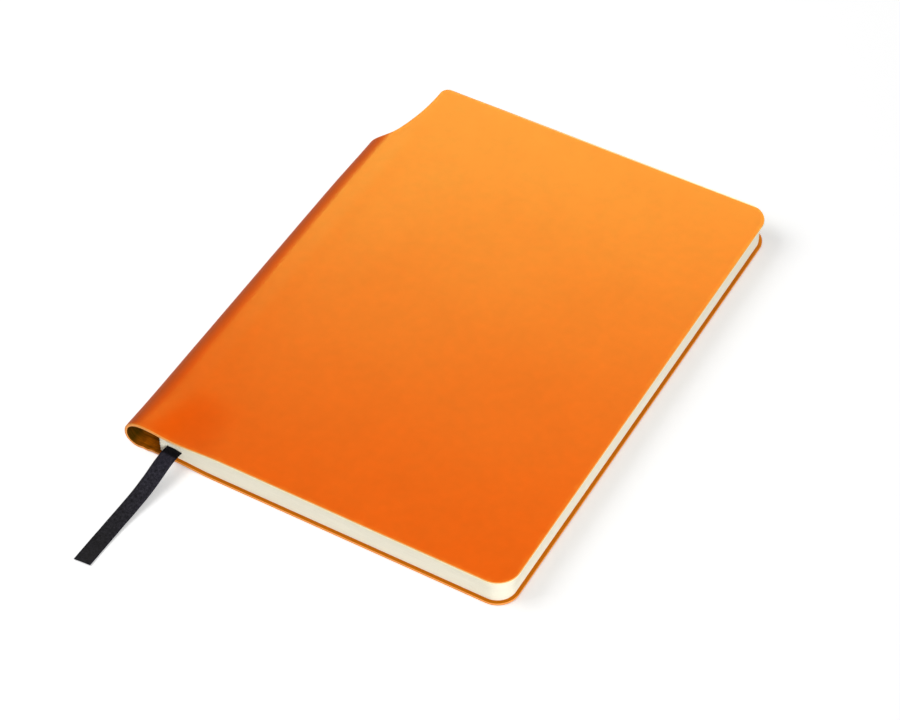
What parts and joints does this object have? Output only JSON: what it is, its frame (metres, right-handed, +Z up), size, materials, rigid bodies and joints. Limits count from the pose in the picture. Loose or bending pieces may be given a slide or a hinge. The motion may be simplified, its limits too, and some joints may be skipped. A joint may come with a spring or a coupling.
{
  "type": "softcover notebook",
  "caption": "Closed softcover notebook with hinged covers, a pen tunnel looped along its spine, a notch at the head that bares the tunnel, and a ribbon marker.",
  "frame": {"origin": "centre of the notebook's box at its underside, where it lies on the table, without the ribbon", "axes": "+X from the pen tunnel to the fore edge, +Y from tail to head along the spine, +Z up through the front cover"},
  "size_m": [0.157, 0.2641, 0.0125],
  "materials": {
    "cover": "satin imitation leather",
    "pages": "matte cream paper, cut edges",
    "lining": "matte strong paper",
    "endpaper": "matte cream paper",
    "ribbon": "black satin"
  },
  "bodies": {
    "block": {"page_block": "pages", "spine_tunnel": "cover", "spine_lining": "lining", "ribbon_marker": "ribbon"},
    "front": {"front_cover": "cover", "front_endpaper": "endpaper"},
    "back": {"back_cover": "cover", "back_endpaper": "endpaper"}
  },
  "joints": [
    {"name": "front_hinge", "type": "hinge", "parent": "block", "child": "front", "pos_m": [-0.0568, 0, 0.0114], "axis": [0, -1, 0], "range_deg": [0, 170]},
    {"name": "back_hinge", "type": "hinge", "parent": "block", "child": "back", "pos_m": [-0.0603, 0, 0.001], "axis": [0, 1, 0], "range_deg": [0, 170]}
  ]
}
